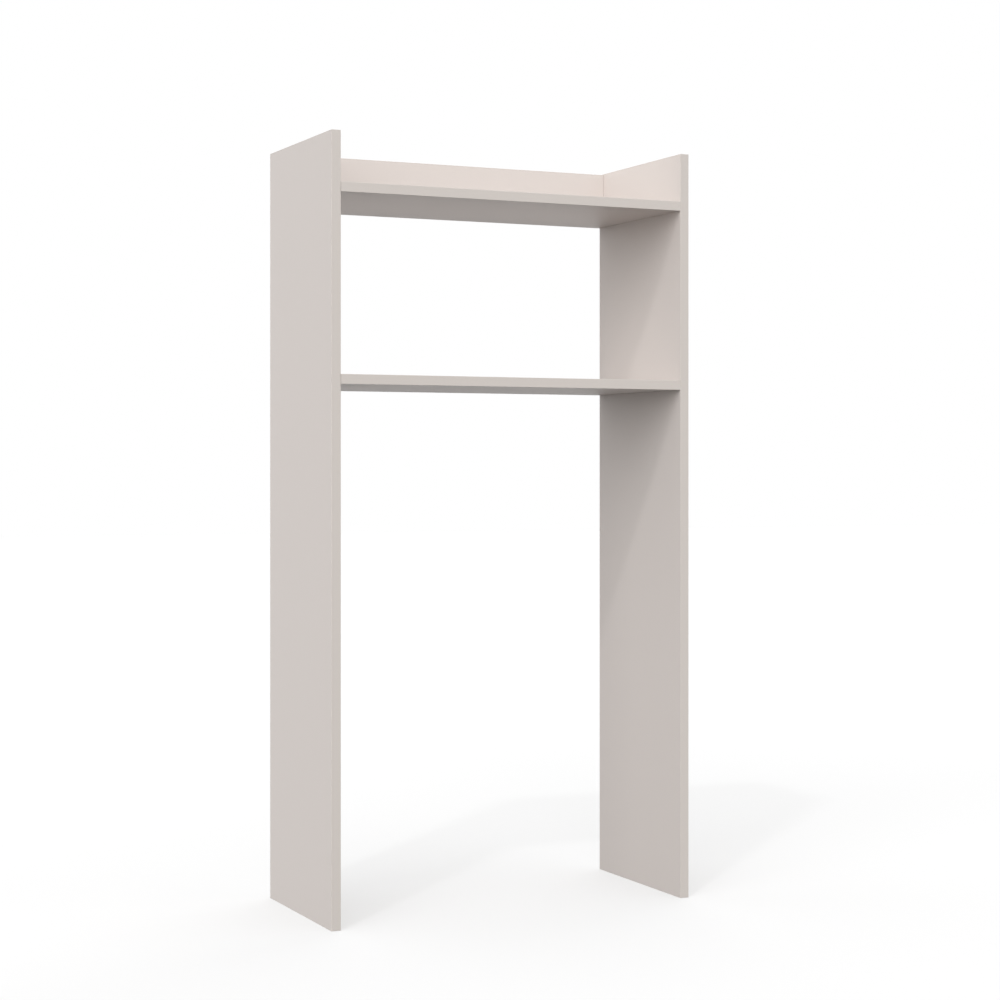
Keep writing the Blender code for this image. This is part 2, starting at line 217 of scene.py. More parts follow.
class Tree:
    """The nodes of one material or of the world, added one by one."""

    def __init__(self, owner: Material | bpy.types.World) -> None:
        """Keep and empty a tree.

        Args:
            owner: Material or world that the tree belongs to.
        """
        owner.use_nodes = True
        self.owner = owner
        self.nodes = owner.node_tree.nodes
        self.links = owner.node_tree.links
        self.nodes.clear()

    def node(
        self, kind: str, settings: Mapping[str, object] | None = None,
        inputs: Mapping[int | str, Input] | None = None, output: int | str = 0,
    ) -> Signal:
        """Add a node of any type and give what comes out of it.

        Args:
            kind: Blender's name of its type, less the ShaderNode in front.
            settings: Its own settings, which are set first.
            inputs: Numbers, colours or wires of its sockets, by place or name.
            output: Place or name of the socket that is wanted.

        Returns:
            That socket as a signal.
        """
        made = self.nodes.new(f"ShaderNode{kind}")
        for name, value in (settings or {}).items():
            setattr(made, name, value)
        for key, value in (inputs or {}).items():
            socket = self.found(made.inputs, key)
            if isinstance(value, Signal):
                self.links.new(value.socket, socket)
            else:
                socket.default_value = value
        return Signal(self, self.found(made.outputs, output))

    @staticmethod
    def found(sockets: bpy.types.bpy_prop_collection, key: int | str) -> bpy.types.NodeSocket:
        """The socket with a place, or the first one in use with a name."""
        named = (socket for socket in sockets if socket.enabled and socket.name == key)
        return sockets[key] if isinstance(key, int) else next(named)

    def maths(self, operation: str, *values: "Signal | float") -> Signal:
        """Result of a Math node on numbers."""
        return self.node("Math", {"operation": operation}, dict(enumerate(values)))

    def vectors(self, operation: str, *values: Input) -> Signal:
        """Result of a Vector Math node on places or colours."""
        return self.node("VectorMath", {"operation": operation}, dict(enumerate(values)))

    def object_place(self) -> Signal:
        """A point's place in the row frame, since every piece sits at the origin."""
        return self.node("TexCoord", output="Object")

    def own_place(self) -> Signal:
        """A point's place on its own piece, from the attribute that new pieces carry."""
        return self.node("Attribute", {"attribute_name": OWN_PLACE}, output="Vector")

    def along(self, place: Signal, axis: int) -> Signal:
        """One coordinate of a place, or one channel of a colour."""
        return self.node("SeparateXYZ", inputs={0: place}, output=axis)

    def scaled(self, place: Signal, size: float | Sequence[float]) -> Signal:
        """A place measured in a size, the same one or its own along each axis."""
        return self.vectors("MULTIPLY", place, (1 / np.broadcast_to(size, 3)).tolist())

    def noise(self, place: Signal, size: float | Sequence[float], detail: float = 1.0) -> Signal:
        """Soft noise from 0 to 1, with lumps of a size."""
        inputs = {"Vector": self.scaled(place, size), "Scale": 1.0, "Detail": detail}
        return self.node("TexNoise", inputs=inputs)

    def cells(self, place: Signal, output: str) -> Signal:
        """Cells about one unit of the place across: their Distance or Color."""
        return self.node("TexVoronoi", inputs={"Vector": place, "Scale": 1.0}, output=output)

    def mixed(self, share: Input, first: Input, second: Input) -> Signal:
        """The first colour at a share of 0, and the second at 1."""
        a, b = (colour if isinstance(colour, Signal) else (*colour, 1.0) for colour in (first, second))
        return self.node("Mix", {"data_type": "RGBA"}, {"Factor": share, "A": a, "B": b}, "Result")

    def toned(self, colour: Input, gain: Signal) -> Signal:
        """A colour made lighter or darker by a gain about 1."""
        return self.vectors("MULTIPLY", colour, gain)

    def bump(self, height: Signal) -> Signal:
        """A normal turned by a height in metres."""
        return self.node("Bump", inputs={"Height": height, "Strength": 1.0, "Distance": 1.0})

    def mixed_shader(self, share: Input, first: Signal, second: Signal) -> Signal:
        """The first shader at a share of 0, and the second at 1."""
        return self.node("MixShader", inputs={0: share, 1: first, 2: second})

    def seen_directly(self) -> Signal:
        """1 for a camera, glossy or transmission ray, and 0 for light on its way."""
        kinds = ("Camera", "Glossy", "Transmission")
        return sum(self.node("LightPath", output=f"Is {kind} Ray") for kind in kinds)

    def surfaced(self, inputs: Mapping[int | str, Input]) -> Material:
        """The finished material, with a Principled shader on its output."""
        self.end(self.node("BsdfPrincipled", inputs=inputs), "Material")
        return self.owner

    def end(self, shader: Signal, output: str) -> None:
        """Put a shader on an output for a Material or the World."""
        self.links.new(shader.socket, self.nodes.new(f"ShaderNodeOutput{output}").inputs["Surface"])


@dataclass(frozen=True)
class Chipboard:
    """Pressed wood chips: coarse in the middle of the board, fine under its faces."""

    pale: Colour = (0.58, 0.43, 0.27)
    tan: Colour = (0.42, 0.29, 0.165)
    brown: Colour = (0.17, 0.105, 0.055)
    tan_tones: Range = (0.0, 0.16)
    pale_tones: Range = (0.20, 0.90)
    coarse_chip: float = 0.0042
    fine_chip: float = 0.0011
    flatness: float = 3.2
    ragged_size: float = 0.35
    ragged_reach: float = 0.55
    core_depths: Range = (0.0024, 0.0036)
    coarse_relief: float = 0.00012
    fine_relief: float = 0.00004
    roughness: float = 0.85

    def core(self, tree: Tree, place: Signal, thin_axis: int, depth: Signal) -> tuple[Signal, Signal]:
        """Ragged cells of one tone each, fine under the faces and coarse where they lie deep.

        Args:
            tree: Tree of the material.
            place: Point on the board.
            thin_axis: Axis through the board, along which the chips are flat.
            depth: How far the point lies under a face.

        Returns:
            The core's colour, and its height in metres.
        """
        deep = depth.rises(*self.core_depths)
        colours, heights = [], []
        for chip in (self.fine_chip, self.coarse_chip):
            sizes = [chip] * 3
            sizes[thin_axis] = chip / self.flatness
            even = tree.scaled(place, sizes)
            ragged = {"Vector": even, "Scale": 1 / self.ragged_size}
            push = tree.node("TexNoise", inputs=ragged, output="Color")
            cell = tree.vectors("MULTIPLY_ADD", push, (self.ragged_reach,) * 3, even)
            tone = tree.along(tree.cells(cell, "Color"), 0)
            wood = tree.mixed(tone.rises(*self.tan_tones), self.brown, self.tan)
            colours.append(tree.mixed(tone.rises(*self.pale_tones), wood, self.pale))
            heights.append(1 - tree.cells(cell, "Distance"))
        relief = heights[0] * (1 - deep) * self.fine_relief + heights[1] * deep * self.coarse_relief
        return tree.mixed(deep, *colours), relief


@dataclass(frozen=True)
class Melamine:
    """Matte melamine paper, warm light grey, pressed on both faces of a chipboard core."""

    node: str
    colour: Colour = (0.636, 0.584, 0.553)
    paper_depths: Range = (0.000225, 0.000275)
    drift_size: float = 0.22
    drift: float = 0.010
    drift_gloss: float = 0.05
    fleck_size: float = 0.0008
    fleck: float = 0.016
    pearl_size: float = 0.00050
    pearl_height: float = 0.000010
    roughness: float = 0.50
    chipboard: Chipboard = Chipboard()

    def made(self) -> Material:
        """Paper where the point lies on one of the board's two faces, and chips inside.

        Returns:
            The finish of one board.
        """
        tree = Tree(bpy.data.materials.new(self.node))
        place, span = tree.object_place(), Span.of(self.node)
        thin = int(np.argmin(span.size))
        depth = float(span.size[thin]) / 2 - abs(tree.along(place, thin) - span.centre[thin])
        inside = depth.rises(*self.paper_depths)
        drift = tree.noise(place, self.drift_size, detail=2.0) - NOISE_MEAN
        fleck = tree.noise(place, self.fleck_size) - NOISE_MEAN
        paper = tree.toned(self.colour, 1 + drift * self.drift + fleck * self.fleck)
        pearl = tree.noise(place, self.pearl_size) * self.pearl_height
        chips, chip_height = self.chipboard.core(tree, place, thin, depth)
        gloss = (self.roughness + drift * self.drift_gloss) * (1 - inside)
        return tree.surfaced({
            "Base Color": tree.mixed(inside, paper, chips),
            "Roughness": gloss + inside * self.chipboard.roughness,
            "Normal": tree.bump(pearl * (1 - inside) + chip_height * inside),
        })


@dataclass(frozen=True)
class EdgeBand:
    """Matte plastic band in the boards' colour, with drawn streaks and scraped arrises."""

    node: str
    facing: Facing
    colour: Colour = (0.638, 0.588, 0.549)
    streak_length: float = 0.050
    streak_width: float = 0.00035
    streak: float = 0.022
    streak_height: float = 0.000004
    pearl_size: float = 0.00045
    pearl_height: float = 0.000007
    arris: Range = (0.00034, 0.00046)
    scraped_gain: float = 0.035
    scraped_gloss: float = 0.10
    roughness: float = 0.47

    def made(self) -> Material:
        """Streaks along the run, and a scraped line on the two long arrises.

        Returns:
            The finish of one band.
        """
        tree = Tree(bpy.data.materials.new(self.node))
        place, span = tree.object_place(), Span.of(self.node)
        across = span.third_axis(self.facing)
        streaks = [self.streak_width] * 3
        streaks[span.long_axis] = self.streak_length
        streak = tree.noise(place, streaks, detail=2.0) - NOISE_MEAN
        pearl = tree.noise(place, self.pearl_size)
        under_face = abs(tree.along(place, self.facing.axis) - span.face(self.facing))
        from_middle = abs(tree.along(place, across) - span.centre[across])
        from_side = float(span.size[across]) / 2 - from_middle
        scraped = (1 - under_face.rises(*self.arris)) * (1 - from_side.rises(*self.arris))
        return tree.surfaced({
            "Base Color": tree.toned(self.colour, 1 + streak * self.streak + scraped * self.scraped_gain),
            "Roughness": self.roughness + (streak - scraped) * self.scraped_gloss,
            "Normal": tree.bump(streak * self.streak_height + pearl * self.pearl_height),
        })


@dataclass(frozen=True)
class Moulded:
    """What was poured or pressed in a mould: a clouded tone and gloss under a fine grain."""

    name: str
    colour: Colour
    roughness: float
    cloud_size: float
    cloud: float
    cloud_gloss: float
    grain_size: float
    grain_height: float
    metallic: float = 0.0
    # Painted shade in recesses: how much the colour changes, and the depth below the face at which the
    # change is full.
    painted_recess_shade: float = 0.0
    recess_depth: float = 0.0012

    def made(self) -> Material:
        """Clouds and grain, and painted shade that darkens the recesses under a piece's own Z of 0.

        Returns:
            The finish of every piece of one kind.
        """
        tree = Tree(bpy.data.materials.new(self.name))
        place = tree.object_place()
        cloud = tree.noise(place, self.cloud_size, detail=3.0) - NOISE_MEAN
        grain = tree.noise(place, self.grain_size)
        # Painted shade: the colour darkens by the gain with depth below the piece's own Z of 0, as in a
        # cam's slot and arrow.
        shaded_recess = (0 - tree.along(tree.own_place(), 2)).rises(0.0, self.recess_depth)
        return tree.surfaced({
            "Base Color": tree.toned(self.colour, 1 + cloud * self.cloud + shaded_recess * self.painted_recess_shade),
            "Metallic": self.metallic,
            "Roughness": self.roughness + cloud * self.cloud_gloss,
            "Normal": tree.bump(grain * self.grain_height),
        })


HOT_MELT = Moulded(
    "hot_melt", colour=(0.47, 0.42, 0.375), roughness=0.38, cloud_size=0.0030, cloud=0.18,
    cloud_gloss=0.18, grain_size=0.0030, grain_height=0.00002,
)
# The zinc's negative recess gain paints shade into the cam's slot and arrow, darker with depth.
DIE_CAST_ZINC = Moulded(
    "die_cast_zinc", colour=(0.52, 0.52, 0.51), roughness=0.42, cloud_size=0.0014, cloud=0.16,
    cloud_gloss=0.16, grain_size=0.00016, grain_height=0.000006, metallic=1.0, painted_recess_shade=-0.35,
)
MOULDED_PLASTIC = Moulded(
    "moulded_plastic", colour=(0.615, 0.566, 0.530), roughness=0.40, cloud_size=0.0045, cloud=0.03,
    cloud_gloss=0.09, grain_size=0.00022, grain_height=0.000009,
)


@dataclass(frozen=True)
class PlatedSteel:
    """Turned steel with a thin bright zinc plating."""

    name: str = "plated_steel"
    colour: Colour = (0.63, 0.64, 0.66)
    ring_pitch: float = 0.00009
    ring_height: float = 0.000003
    cloud_size: float = 0.0030
    cloud: float = 0.12
    roughness: float = 0.30

    def made(self) -> Material:
        """Turning marks round a piece's own Z, under a clouded plating.

        Returns:
            The finish of every cam bolt.
        """
        tree = Tree(bpy.data.materials.new(self.name))
        turned_by = tree.along(tree.own_place(), 2) * (1 / self.ring_pitch)
        rings = tree.node("TexNoise", {"noise_dimensions": "1D"}, {"W": turned_by, "Scale": 1.0})
        cloud = tree.noise(tree.object_place(), self.cloud_size, detail=2.0) - NOISE_MEAN
        return tree.surfaced({
            "Base Color": tree.toned(self.colour, 1 + cloud * self.cloud),
            "Metallic": 1.0,
            "Roughness": self.roughness + (cloud + rings - NOISE_MEAN) * self.cloud,
            "Normal": tree.bump(rings * self.ring_height),
        })


@dataclass(frozen=True)
class Beech:
    """Raw beech, its grain along the dowel, with the short dark flecks of that wood."""

    name: str = "beech"
    early: Colour = (0.60, 0.415, 0.255)
    late: Colour = (0.50, 0.325, 0.185)
    late_tones: Range = (0.35, 0.65)
    fleck: Colour = (0.30, 0.170, 0.085)
    fleck_tones: Range = (0.60, 0.72)
    grain_size: Triple = (0.0013, 0.0013, 0.030)
    fleck_size: Triple = (0.00022, 0.00022, 0.0022)
    fibre_size: Triple = (0.00007, 0.00007, 0.0040)
    fibre: float = 0.16
    fibre_height: float = 0.000012
    roughness: float = 0.68

    def made(self) -> Material:
        """Grain, flecks and fibres drawn out along a piece's own Z.

        Returns:
            The finish of every dowel.
        """
        tree = Tree(bpy.data.materials.new(self.name))
        place = tree.own_place()
        grain = tree.noise(place, self.grain_size, detail=2.0)
        fibres = tree.noise(place, self.fibre_size)
        wood = tree.mixed(grain.rises(*self.late_tones), self.early, self.late)
        flecked = tree.mixed(tree.noise(place, self.fleck_size).rises(*self.fleck_tones), wood, self.fleck)
        return tree.surfaced({
            "Base Color": tree.toned(flecked, 1 + (fibres - NOISE_MEAN) * self.fibre),
            "Roughness": self.roughness + (fibres - NOISE_MEAN) * self.fibre,
            "Normal": tree.bump((fibres + grain) * self.fibre_height),
        })


@dataclass(frozen=True)
class Surface:
    """A closed skin of points and faces."""

    points: Array
    faces: list[list[int]]

    @classmethod
    def of_node(cls, node: str) -> "Surface":
        """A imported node's skin, with its loose triangles joined at their corners.

        Each loose one would be an island of its own on a picture map, and the thin ones
        would take their neighbours' colours.

        Args:
            node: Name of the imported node.

        Returns:
            The closed skin in the row frame.
        """
        mesh = frame["nodes"][node].data
        places = np.empty(len(mesh.vertices) * 3, dtype=np.float32)
        mesh.vertices.foreach_get("co", places)
        corners = np.empty(len(mesh.loops), dtype=np.int32)
        mesh.loops.foreach_get("vertex_index", corners)
        points, joined = np.unique(places.reshape(-1, 3), axis=0, return_inverse=True)
        return cls(points, joined.ravel()[corners].reshape(-1, 3).tolist())

    @classmethod
    def of_rings(cls, rings: Array) -> "Surface":
        """Close a stack of rings into one skin.

        Four-sided faces join ring i and ring i + 1 all the way round, and fans to the
        middle of the first and of the last ring shut the ends.

        Args:
            rings: Points of shape (rings, points of a ring, 3).

        Returns:
            The closed skin.
        """
        count, around = rings.shape[:2]
        here = np.arange(count * around).reshape(count, around)
        beside = np.roll(here, -1, axis=1)
        sides = np.stack((here[:-1], beside[:-1], beside[1:], here[1:]), axis=-1).reshape(-1, 4)
        pole = np.full(around, count * around)
        foot_fan = np.stack((pole, beside[0], here[0]), axis=-1)
        top_fan = np.stack((pole + 1, here[-1], beside[-1]), axis=-1)
        ends = rings[[0, -1]]
        poles = (ends.min(axis=1) + ends.max(axis=1)) / 2
        points = np.concatenate((rings.reshape(-1, 3), poles))
        return cls(points, sides.tolist() + foot_fan.tolist() + top_fan.tolist())


@dataclass(frozen=True)
class Seat:
    """Where a piece that is worked out about its own axes goes in the row frame."""

    at: Array
    up: Array
    along: Array

    @property
    def axes(self) -> Array:
        """The piece's own X, Y and Z, one a row."""
        return np.stack((self.along, np.cross(self.up, self.along), self.up))

    def placed(self, points: Array) -> Array:
        """Own points turned and moved into the row frame: p times the axes, plus the seat."""
        return points @ self.axes + self.at

    def own(self, points: Array) -> Array:
        """Points of the row frame about the piece's own axes."""
        return (points - self.at) @ self.axes.T


ROW_SEAT = Seat(np.zeros(3), Facing.TOP.vector, Facing.RIGHT.vector)


def linked(name: str, data: bpy.types.ID) -> Object:
    """A new object in the scene, at the origin, of a mesh, a lamp or a camera."""
    bpy.context.scene.collection.objects.link(made := bpy.data.objects.new(name, data))
    return made


def ringed(radius: Array, height: Array, angles: Array) -> Array:
    """Rings about Z: at angle a, a point of radius r and height h is (r cos a, r sin a, h)."""
    x, y, z = np.broadcast_arrays(radius * np.cos(angles), radius * np.sin(angles), height)
    return np.stack((x, y, z), axis=-1)


def turned(profile: Array, angles: Array) -> Array:
    """A half outline, of shape (points, radius and height), carried once round the Z axis."""
    return ringed(profile[:, :1], profile[:, 1:], angles)


def even_angles(count: int) -> Array:
    """Evenly spaced angles once round, from 0 on."""
    return np.arange(count) * (math.tau / count)


def smooth_step(value: Array) -> Array:
    """0 below 0, 1 above 1, and 3 v^2 - 2 v^3 between."""
    held = np.clip(value, 0, 1)
    return held * held * (3 - 2 * held)


def quarter_round(ease: float, points: int) -> Array:
    """Places in and up from a corner that is rounded off: e (1 - sin a) and e (1 - cos a)."""
    arc = np.linspace(0, math.pi / 2, points)
    return ease * (1 - np.stack((np.sin(arc), np.cos(arc)), axis=-1))


@dataclass(frozen=True)
class BarSlot:
    """Outline of a bar along X, or of a cross of it and its like along Y, about the Z axis."""

    half_length: float
    half_width: float
    crossed: bool = True

    def angles(self, count: int, more: Sequence[float] = ()) -> Array:
        """Even angles once round, and those of the outline's outer corners.

        A corner is off its bar's own angle by the angle whose tangent is width / length.

        Args:
            count: How many even angles.
            more: Further angles that are wanted.

        Returns:
            All of them once each, in rising order.
        """
        corner = math.atan2(self.half_width, self.half_length)
        arms = even_angles(4 if self.crossed else 2)
        wanted = np.concatenate((even_angles(count), arms - corner, arms + corner, more))
        return np.unique(np.round(wanted % math.tau, ANGLE_DIGITS))

    def radius(self, angles: Array) -> Array:
        """Radius of the outline at each angle.

        A ray at angle a leaves a bar at its end or side, at the lesser of half its length
        / |cos a| and half its width / |sin a|, and a cross where it leaves the second bar.

        Args:
            angles: Angles of the rays.

        Returns:
            The radius at each angle.
        """
        x, y = np.abs(np.cos(angles)), np.abs(np.sin(angles))
        with np.errstate(divide="ignore"):
            lying = np.minimum(self.half_length / x, self.half_width / y)
            standing = np.minimum(self.half_width / x, self.half_length / y)
        return np.maximum(lying, standing) if self.crossed else lying


class Shop:
    """Makes the new pieces and seats them on the cabinet's one body."""

    smooth_angle: float = math.radians(32)

    def __init__(self) -> None:
        """Make the materials that many pieces share."""
        self.shared = {
            Slot.BAND: HOT_MELT.made(),
            Slot.CAM: DIE_CAST_ZINC.made(),
            Slot.CAP: MOULDED_PLASTIC.made(),
            Slot.BOLT: PlatedSteel().made(),
            Slot.DOWEL: Beech().made(),
        }
        self.pieces = 0

    def add(
        self, name: str, surface: Surface, seat: Seat, slot: Slot, stands_for: str | None = None,
        cut: tuple[Surface, Seat] | None = None, grain_shift: Array = ROW_SEAT.at,
        material: Material | None = None,
    ) -> None:
        """Make a piece that rides on the cabinet, its points marked with their places on it.

        Args:
            name: Name of the piece.
            surface: The skin about its own axes.
            seat: Place of those axes.
            slot: Slot that the finish comes from.
            stands_for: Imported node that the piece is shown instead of.
            cut: A skin that is taken out of the piece, and its seat.
            grain_shift: What is added to the marked places.
            material: The finish, where the slot's pieces don't share one.
        """
        piece = self.loose(name, surface, seat)
        if cut:
            self.carve(piece, self.loose(f"{name}_cutter", *cut))
        points = np.empty(len(piece.data.vertices) * 3, dtype=np.float32)
        piece.data.vertices.foreach_get("co", points)
        own = (seat.own(points.reshape(-1, 3)) + grain_shift).astype(np.float32)
        places = piece.data.attributes.new(OWN_PLACE, "FLOAT_VECTOR", "POINT")
        places.data.foreach_set("vector", own.ravel())
        piece.data.materials.append(material or self.shared[slot])
        piece.data.shade_smooth()
        piece.data.set_sharp_from_angle(angle=self.smooth_angle)
        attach(piece, BODY)
        if stands_for:
            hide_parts(stands_for)
        self.report(piece, slot)

    @staticmethod
    def loose(name: str, surface: Surface, seat: Seat) -> Object:
        """A bare object of a skin in the row frame, its faces outwards.

        Args:
            name: Name of the object and its mesh.
            surface: The skin about its own axes.
            seat: Place of those axes.

        Returns:
            The object.
        """
        mesh = bpy.data.meshes.new(name)
        mesh.from_pydata(seat.placed(surface.points).tolist(), [], surface.faces)
        shape = bmesh.new()
        shape.from_mesh(mesh)
        bmesh.ops.recalc_face_normals(shape, faces=shape.faces)
        shape.to_mesh(mesh)
        shape.free()
        return linked(name, mesh)

    @staticmethod
    def carve(piece: Object, tool: Object) -> None:
        """Cut a tool's volume out of a piece, and throw the tool away.

        Args:
            piece: Object that is cut.
            tool: Object that holds the volume.
        """
        step = piece.modifiers.new("cut", "BOOLEAN")
        step.operation, step.solver, step.object = "DIFFERENCE", "EXACT", tool
        evaluated = piece.evaluated_get(bpy.context.evaluated_depsgraph_get())
        carved = bpy.data.meshes.new_from_object(evaluated)
        piece.modifiers.clear()
        piece.data = carved
        bpy.data.objects.remove(tool, do_unlink=True)

    def report(self, piece: Object, slot: Slot) -> None:
        """Count a piece and say what it is made of."""
        self.pieces += 1
        log.info("%s: %s, %d faces", piece.name, slot.value, len(piece.data.polygons))


@dataclass(frozen=True)
class Fitting:
    """Something that a shop makes and fits to the cabinet."""

    shop: Shop


@dataclass(frozen=True)
class Fixing(Fitting):
    """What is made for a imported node, whose name is a stem and a kind."""

    stem: str
    kind: ClassVar[str]

    @property
    def node(self) -> str:
        """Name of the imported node."""
        return f"{self.stem}_{self.kind}"

    @property
    def span(self) -> Span:
        """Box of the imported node."""
        return Span.of(self.node)


@dataclass(frozen=True)
class Band(Fixing):
    """An edge band on its board, and the glue line behind it."""

    board: str
    facing: Facing
    kind = "edge_band"
    glue_recess: float = 0.00006
    glue_wave: float = 0.00003
    wave_length: float = 0.0047
    wave_ratio: float = math.sqrt(5)
    hair: float = 0.000005
    step: float = 0.0012

    def fit(self) -> None:
        """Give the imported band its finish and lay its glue."""
        band = frame["nodes"][self.node]
        band.material_slots[0].material = EdgeBand(self.node, self.facing).made()
        self.shop.report(band, Slot.BAND)
        self.shop.add(f"{self.stem}_glue_line", self.glue_line(), ROW_SEAT, Slot.BAND)

    def glue_line(self) -> Surface:
        """A thin strip between the board's edge and the band's back.

        It is a rectangle carried along the band's run. Both visible edges lie below the
        board's faces by a recess plus a wave, the mean of two sines of the distance run.

        Returns:
            The strip in the row frame.
        """
        span = self.span
        run, out, across = span.long_axis, self.facing.axis, span.third_axis(self.facing)
        inward = -self.facing.sign
        near = span.face(self.facing) + inward * (span.size[out] + self.hair)
        far = Span.of(self.board).face(self.facing) - inward * self.hair
        steps = int(span.size[run] / self.step)
        along = np.linspace(span.low[run] + self.glue_recess, span.high[run] - self.glue_recess, steps)
        turn = along * (math.tau / self.wave_length)
        wave = self.glue_wave * (np.sin(turn) + np.sin(turn * self.wave_ratio + span.low[across])) / 2
        low = span.low[across] + self.glue_recess + wave
        high = span.high[across] - self.glue_recess - wave[::-1]
        rings = np.zeros((steps, 4, 3))
        rings[..., run] = along[:, None]
        rings[..., out] = (near, far, far, near)
        rings[..., across] = np.stack((low, low, high, high), axis=-1)
        return Surface.of_rings(rings)


@dataclass(frozen=True)
class CamLock(Fixing):
    """A die-cast cam lock: a drum with a cross slot, an arrow and a mouth for the bolt."""

    opens: Facing
    towards: Facing
    kind = "cam_lock"
    rim_round: float = 0.0004
    rim_points: int = 5
    face_points: int = 32
    slot: BarSlot = BarSlot(half_length=0.0046, half_width=0.0008)
    slot_depth: float = 0.0024
    slot_floor_share: float = 0.84
    slot_sink_shares: Shares = (0.03, 0.5, 0.97, 1.0)
    arrow_reach: float = 0.0012
    arrow_depth: float = 0.00025
    arrow_slope: float = 0.00022
    arrow_fan: float = 0.24
    arrow_points: int = 64
    around: int = 96
    mouth_radius: float = 0.0037
    mouth_ease: float = 0.0005
    mouth_gap: float = 0.0003
    mouth_around: int = 48
    overrun: float = 0.0010

    def fit(self) -> None:
        """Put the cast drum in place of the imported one."""
        seat = Seat(self.span.middle_of(self.opens), self.opens.vector, self.towards.vector)
        self.shop.add(f"{self.node}_cast", self.drum(), seat, Slot.CAM, self.node, self.mouth())

    def drum(self) -> Surface:
        """The drum, its open face at height 0 and the bolt towards +X.

        Rings run from the rounded foot up the wall, over the rounded rim, in across the
        open face, and down the cross slot's tapered walls to its floor.

        Returns:
            The closed skin about the drum's axis.
        """
        radius, height = self.span.across(self.opens.axis) / 2, self.span.size[self.opens.axis]
        fan = np.linspace(-self.arrow_fan, self.arrow_fan, self.arrow_points)
        angles = self.slot.angles(self.around, fan)
        corner = quarter_round(self.rim_round, self.rim_points)
        foot, rim = (radius, -height) + corner * (-1, 1), (radius, 0) - corner[::-1]
        outside = turned(np.concatenate((foot, rim)), angles)
        flat = radius - self.rim_round
        slot = self.slot.radius(angles)
        inwards = np.linspace(0, 1, self.face_points)[1:, None]
        face = ringed(flat + (slot - flat) * inwards, np.zeros(1), angles)
        middle = (self.slot.half_length + flat) / 2
        face[..., 2] = -self.arrow_depth * self.in_arrow(face[..., 0] - middle, face[..., 1])
        sink = np.array(self.slot_sink_shares)[:, None]
        walls = ringed(slot * (1 - (1 - self.slot_floor_share) * sink), -self.slot_depth * sink, angles)
        return Surface.of_rings(np.concatenate((outside, face, walls)))

    def in_arrow(self, x: Array, y: Array) -> Array:
        """How far a point of the open face lies in the arrow beside the slot.

        The arrow is a triangle that points to +X. The least distance inside its three
        sides, each turned a third from the next, is 0 on its outline.

        Args:
            x: The points' places from the arrow's middle towards the bolt.
            y: Their places across that.

        Returns:
            1 inside, 0 outside, and a short slope between.
        """
        sides = even_angles(3)[:, None, None] + math.pi / 3
        away = x * np.cos(sides) + y * np.sin(sides)
        return smooth_step((self.arrow_reach / 2 - away.max(axis=0)) / self.arrow_slope)

    def mouth(self) -> tuple[Surface, Seat]:
        """The room for the bolt: a rod from past its head's end to outside the drum's wall.

        Returns:
            The rod's skin, its inner end eased, and its seat at that end.
        """
        bolt = CamBolt(self.shop, self.stem, self.towards).span
        start = bolt.centre - self.towards.vector * (bolt.size / 2 + self.mouth_gap)
        reach = abs(self.span.face(self.towards) - start[self.towards.axis]) + self.overrun
        eased = (self.mouth_radius, 0) + quarter_round(self.mouth_ease, self.rim_points) * (-1, 1)
        profile = np.concatenate((eased, ((self.mouth_radius, reach),)))
        rod = Surface.of_rings(turned(profile, even_angles(self.mouth_around)))
        return rod, Seat(start, self.towards.vector, self.opens.vector)


